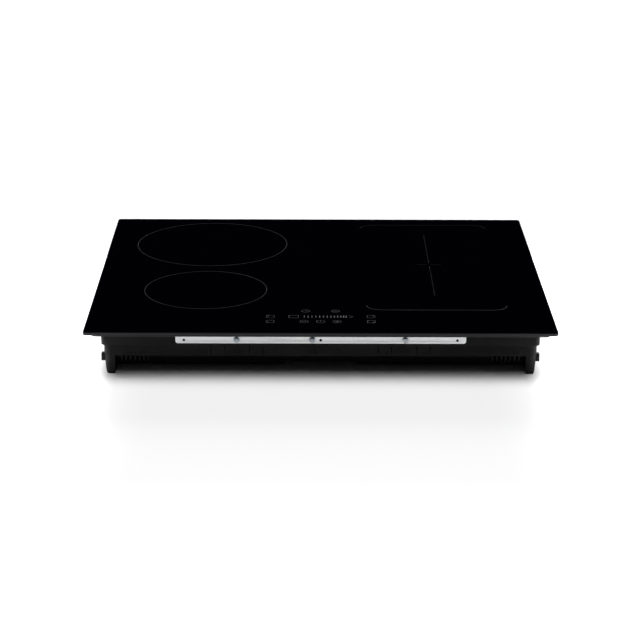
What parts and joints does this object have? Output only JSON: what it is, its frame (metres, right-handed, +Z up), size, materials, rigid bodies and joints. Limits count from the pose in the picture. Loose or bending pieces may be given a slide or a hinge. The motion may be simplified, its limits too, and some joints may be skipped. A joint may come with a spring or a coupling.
{
  "type": "electric induction cooktop",
  "caption": "Built-in induction hob: black glass-ceramic top with ringed zones and a touch slider, over a shallow vented housing with corner feet.",
  "frame": {"origin": "centre of the footprint, on the plane that the feet stand on", "axes": "+Z up to the glass, +X to the right as a cook sees it, -Y towards the cook and the touch controls"},
  "size_m": [0.59, 0.513, 0.061],
  "materials": {
    "glass_ceramic": "polished black glass-ceramic with fine grey printed zones",
    "seal_tape": "matte foam tape",
    "housing_plastic": "satin black moulding",
    "galvanised_steel": "galvanised sheet, fine spangle",
    "screw_steel": "blue-passivated steel",
    "aluminium": "rolled sheet and extrusion, satin",
    "litz_copper": "enamelled litz wire",
    "mica": "pressed mica sheet",
    "carrier_plastic": "heat-resistant moulding",
    "circuit_board": "green solder mask",
    "component_plastic": "moulded component case",
    "rubber": "black rubber",
    "ceramic_white": "off-white insulating moulding",
    "lead_sleeve": "silicone sleeve"
  },
  "bodies": {
    "hob": {"glass_top": "glass_ceramic", "worktop_seal": "seal_tape", "glass_frame": "housing_plastic", "base_tray": "housing_plastic", "front_strip": "galvanised_steel", "rear_strip": "galvanised_steel", "coil_support_plate": "aluminium", "front_strip_screw_left": "screw_steel", "front_strip_screw_centre": "screw_steel", "front_strip_screw_right": "screw_steel", "rear_strip_screw_left": "screw_steel", "rear_strip_screw_centre": "screw_steel", "rear_strip_screw_right": "screw_steel", "mica_disc_rear_left": "mica", "coil_winding_rear_left": "litz_copper", "coil_carrier_rear_left": "carrier_plastic", "pan_sensor_rear_left": "ceramic_white", "coil_lead_rear_left": "lead_sleeve", "mica_disc_front_left": "mica", "coil_winding_front_left": "litz_copper", "coil_carrier_front_left": "carrier_plastic", "pan_sensor_front_left": "ceramic_white", "coil_lead_front_left": "lead_sleeve", "mica_disc_rear_right": "mica", "coil_winding_rear_right": "litz_copper", "coil_carrier_rear_right": "carrier_plastic", "pan_sensor_rear_right": "ceramic_white", "coil_lead_rear_right": "lead_sleeve", "mica_disc_front_right": "mica", "coil_winding_front_right": "litz_copper", "coil_carrier_front_right": "carrier_plastic", "pan_sensor_front_right": "ceramic_white", "coil_lead_front_right": "lead_sleeve", "power_board_left": "circuit_board", "heat_sink_left": "aluminium", "film_capacitor_left": "component_plastic", "fan_housing_left": "component_plastic", "display_module_left": "component_plastic", "power_board_right": "circuit_board", "heat_sink_right": "aluminium", "film_capacitor_right": "component_plastic", "fan_housing_right": "component_plastic", "display_module_right": "component_plastic", "filter_board": "circuit_board", "filter_choke": "litz_copper", "filter_capacitor": "component_plastic", "terminal_block": "ceramic_white", "cable_grommet": "rubber", "mains_lead": "lead_sleeve", "control_bracket": "carrier_plastic", "control_board": "circuit_board", "control_ribbon": "ceramic_white"},
    "fan_wheel_left": {"fan_rotor_left": "component_plastic"},
    "fan_wheel_right": {"fan_rotor_right": "component_plastic"},
    "terminal_flap": {"terminal_cover": "housing_plastic"}
  },
  "joints": [
    {"name": "fan_left_spin", "type": "hinge", "parent": "hob", "child": "fan_wheel_left", "pos_m": [-0.105, 0.158, 0.02], "axis": [0, 0, 1], "continuous": true},
    {"name": "fan_right_spin", "type": "hinge", "parent": "hob", "child": "fan_wheel_right", "pos_m": [0.105, 0.158, 0.02], "axis": [0, 0, 1], "continuous": true},
    {"name": "terminal_flap_hinge", "type": "hinge", "parent": "hob", "child": "terminal_flap", "pos_m": [0.192, 0.2406, 0.0348], "axis": [1, 0, 0], "range_deg": [0, 110]}
  ]
}
